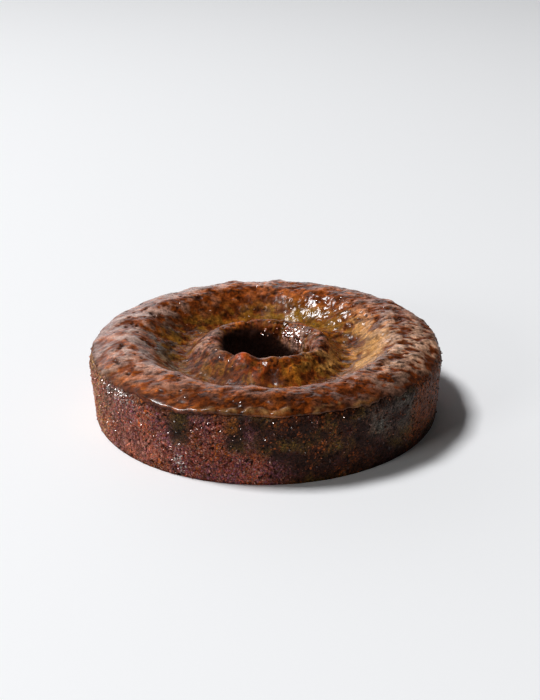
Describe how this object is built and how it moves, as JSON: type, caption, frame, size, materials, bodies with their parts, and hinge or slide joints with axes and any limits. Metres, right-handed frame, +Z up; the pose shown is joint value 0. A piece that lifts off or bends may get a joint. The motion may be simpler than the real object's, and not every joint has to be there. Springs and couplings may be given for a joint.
{
  "type": "sticky toffee pudding",
  "caption": "Ring-shaped sticky toffee pudding baked in a tube tin, with a craggy glazed crust, a sunken moat and a raised collar round its central hole.",
  "frame": {"origin": "middle of the flat underside, where the pudding rests", "axes": "+Z up along the axis of the central hole, -Y towards the picture's viewer, +X to the viewer's right"},
  "size_m": [0.2542, 0.2548, 0.0577],
  "materials": {
    "toffee_crust": "dark date sponge under a thin wet toffee glaze"
  },
  "bodies": {
    "root": {"pudding": "toffee_crust"}
  },
  "joints": []
}
